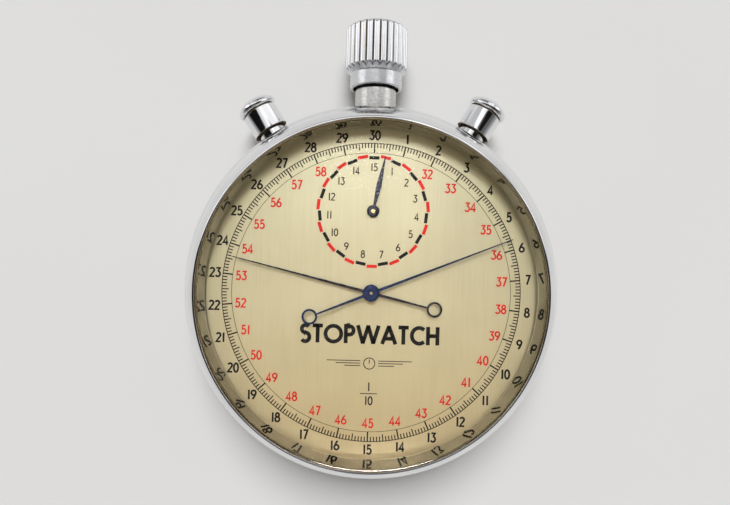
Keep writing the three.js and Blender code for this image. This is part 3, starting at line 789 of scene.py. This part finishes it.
# ---------- hands ----------
def hand_blade(name, reach, z, hole, deg, material, body, node):
    """A long hand with a round hub and an open ring on its tail."""
    tail = -10.95
    edge = 0.02
    z0, z1 = z
    mid = (z0 + z1) / 2
    parts = []
    for outline in (
        [(0.25, 0.9), (0.07, reach - 0.2), (0, reach), (-0.07, reach - 0.2), (-0.25, 0.9)],
        [(-0.25, -0.9), (-0.14, tail + 1.15), (0.14, tail + 1.15), (0.25, -0.9)],
    ):
        parts.append(prism(outline, z0 + edge, z1 - edge))
    ring = arc(0, tail, 1.13, 1.13, 0, 360, 40)[:-1]
    parts.append(ribbon(ring, 0.34, z0, z1, closed=True))
    verts, faces = join_parts(parts)
    hub = rounded([(hole, z0), (1.4, z0), (1.4, mid), (1.25, z1), (hole, z1)], {2: 0.05, 3: 0.1}, 4)
    blade = add_mesh(name, verts, faces, smooth=False)
    boss = lathe(name + "_hub", hub, 64)
    boss.data.materials.append(material)
    turn = Matrix.Rotation(-math.radians(deg), 4, "Z")
    place(blade, turn)
    bevel = blade.modifiers.new("edge", "BEVEL")
    bevel.width = edge * MM
    bevel.segments = 2
    finish_piece(blade, material, body, [node])
    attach(boss, body)


def build_hands():
    hand_blade("sweep_hand_blue", 25.2, SWEEP_Z, 0.24, SWEEP_DEG, BLUED, "sweep", "sweep_hand")
    hand_blade("split_hand_dark", 24.1, SPLIT_Z, 0.79, SPLIT_DEG, DARK, "split", "split_hand")
    z0, z1 = MINUTE_Z
    side = [(0.22, 0.8), (0.47, 4.4), (0.1, 9.3)]
    outline = side + [(0, 9.5)] + [(-x, y) for x, y in reversed(side)]
    turn = Matrix.Translation((0, SUB_Y * MM, 0)) @ Matrix.Rotation(-math.radians(MINUTE_DEG), 4, "Z")
    hand = place(add_mesh("minute_hand_lance", *prism(outline, z0, z1), smooth=False), turn)
    finish_piece(hand, DARK, "minute", ["minute_hand"])
    hub = rounded([(0.34, z0), (1.05, z0), (1.05, z1), (0.8, z1 + 0.12), (0.34, z1 + 0.12)], {2: 0.1, 3: 0.1})
    boss = place(lathe("minute_hand_hub", hub, 48), turn)
    finish_piece(boss, DARK, "minute")
    foot = SWEEP_Z[1] + 0.02
    tip = 15.55
    pin = rounded([(0, foot), (0.24, foot), (0.24, tip - 0.1), (0.12, tip), (0, tip)], {2: 0.08, 3: 0.05})
    finish_piece(lathe("sweep_pin_cap", pin, 32), BRASS, "sweep")


def paint_frame_nodes():
    """Gives every CAD node that stays its procedural material."""
    slots = {s["node"]: s["material_slot"] for s in frame["record"]["subparts"]}
    for name, obj in frame["nodes"].items():
        obj.data.materials.clear()
        obj.data.materials.append(SLOT_MATERIALS[slots[name]])


# ---------- camera, floor and light ----------
PX_PER_MM = 5.9  # at the dial
IMAGE_W = 730
ROLL = math.radians(1.45)
CAMERA_ABOVE_DIAL = 97.0
CENTRE_OFFSET = (1.02, -6.76)  # the dial's centre from the middle of the picture, right and up
FLOOR_SIZE = 2000
FLOOR_Z = -0.02


def build_camera():
    data = bpy.data.cameras.new("camera")
    cam = bpy.data.objects.new("camera", data)
    bpy.context.scene.collection.objects.link(cam)
    data.sensor_width = 36.0
    data.lens = 36.0 * CAMERA_ABOVE_DIAL / (IMAGE_W / PX_PER_MM)
    data.clip_start = 0.005
    right = Vector((math.cos(ROLL), math.sin(ROLL)))
    up = Vector((-math.sin(ROLL), math.cos(ROLL)))
    at = -right * CENTRE_OFFSET[0] - up * CENTRE_OFFSET[1]
    height = DIAL_Z + CAMERA_ABOVE_DIAL
    cam.matrix_world = Matrix.Translation((at.x * MM, at.y * MM, height * MM)) @ Matrix.Rotation(ROLL, 4, "Z")
    bpy.context.scene.camera = cam


# the room, in x0, x1, y0, y1 of the direction looked at: how far each dark patch dims it and how bright
# each light patch is
HORIZON_GREY = 0.46
ZENITH_GREY = 0.13
DARK_PATCHES = [((-0.9, -0.22, -0.4, 0.15), 0.95), ((0.24, 0.68, -0.4, 0.2), 0.93)]
LIGHT_PATCHES = [
    ((-0.62, 0.14, 0.23, 0.5), 0.72),
    ((0.14, 0.62, 0.34, 0.8), 0.95),
    ((-0.4, 0.14, 0.38, 0.5), 0.35),
    ((-0.66, -0.1, 0.5, 0.78), 0.45),
    ((-0.92, -0.72, 0.2, 0.5), 1.2),
    ((0.72, 0.92, 0.2, 0.5), 1.2),
]
# name, height above the horizon towards 12 o'clock in degrees, energy, angular size, colour, floor only
SUNS = [
    ("key_top", 71, 2.02, 16, (1.0, 1.0, 1.0), False),
    ("fill_above", 100, 0.42, 40, (1.0, 0.8, 0.5), False),
    ("low_top", 58, 6.4, 30, (1.0, 1.0, 1.0), True),
]


def build_stage():
    floor_mat, nodes, links, bsdf = new_material("floor_paper")
    tone = noise(nodes, links, 12.0, 3.0)
    paper = ramp(nodes, links, tone, [(0.3, (0.2535, 0.2535, 0.2535)), (0.7, (0.2595, 0.2595, 0.2595))])
    links.new(paper, bsdf.inputs["Base Color"])
    bsdf.inputs["Roughness"].default_value = 0.8
    bsdf.inputs["Specular IOR Level"].default_value = 0.1
    corners = [(x * FLOOR_SIZE, y * FLOOR_SIZE, FLOOR_Z) for x, y in ((-1, -1), (1, -1), (1, 1), (-1, 1))]
    floor = add_mesh("floor", corners, [[0, 1, 2, 3]])
    floor.data.materials.append(floor_mat)

    world = bpy.data.worlds.new("studio")
    bpy.context.scene.world = world
    world.use_nodes = True
    nodes, links = world.node_tree.nodes, world.node_tree.links
    coord = nodes.new("ShaderNodeTexCoord")
    split = nodes.new("ShaderNodeSeparateXYZ")
    links.new(coord.outputs["Generated"], split.inputs["Vector"])
    x, y, z = (split.outputs[axis] for axis in "XYZ")
    value = to_range(nodes, links, z, HORIZON_GREY, ZENITH_GREY, 0.05, 0.5)
    for box, dimmed in DARK_PATCHES:
        shade = calculate(nodes, links, "MULTIPLY", patch(nodes, links, x, y, box), dimmed)
        value = calculate(nodes, links, "MULTIPLY", value, calculate(nodes, links, "SUBTRACT", 1.0, shade))
    above = to_range(nodes, links, z, 0, 1, 0.0, 0.1)
    for box, glow in LIGHT_PATCHES:
        lit = calculate(nodes, links, "MULTIPLY", patch(nodes, links, x, y, box), glow)
        value = calculate(nodes, links, "ADD", value, calculate(nodes, links, "MULTIPLY", lit, above))
    links.new(value, nodes["Background"].inputs["Strength"])
    nodes["Background"].inputs["Color"].default_value = (1.0, 1.0, 1.01, 1.0)

    ground = bpy.data.collections.new("ground")
    ground.objects.link(floor)
    for name, height, energy, size, color, floor_only in SUNS:
        data = bpy.data.lights.new(name, "SUN")
        data.energy = energy
        data.angle = math.radians(size)
        data.color = color
        sun = bpy.data.objects.new(name, data)
        sun.rotation_euler = (math.radians(height - 90), 0, 0)
        sun.visible_glossy = False
        if floor_only:
            sun.light_linking.receiver_collection = ground
        bpy.context.scene.collection.objects.link(sun)
    view = bpy.context.scene.view_settings
    view.view_transform = "Standard"
    view.look = "None"


build_camera()
paint_frame_nodes()
build_case()
build_crown()
build_pushers()
build_dial()
build_hands()
build_stage()
